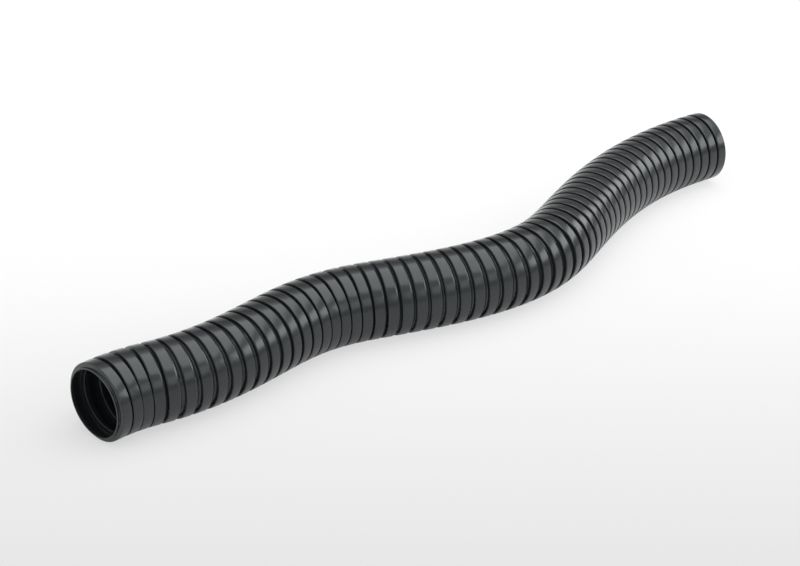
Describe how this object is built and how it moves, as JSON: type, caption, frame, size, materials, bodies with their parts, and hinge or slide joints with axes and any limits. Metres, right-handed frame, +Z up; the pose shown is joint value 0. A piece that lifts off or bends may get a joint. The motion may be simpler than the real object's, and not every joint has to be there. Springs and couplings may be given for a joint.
{
  "type": "flexible corrugated conduit",
  "caption": "Length of black plastic corrugated flexible conduit lying in a gentle double bend, ringed by flat bands with narrow grooves, open at both ends.",
  "frame": {"origin": "middle of the outer box, on the floor that the conduit lies on", "axes": "+X along the length, from the near end of the picture to the far end; +Z up"},
  "size_m": [0.6158, 0.1068, 0.0544],
  "materials": {
    "black_plastic": "satin, moulded, with a soft sheen along the bands"
  },
  "bodies": {
    "root": {"conduit": "black_plastic"}
  },
  "joints": []
}
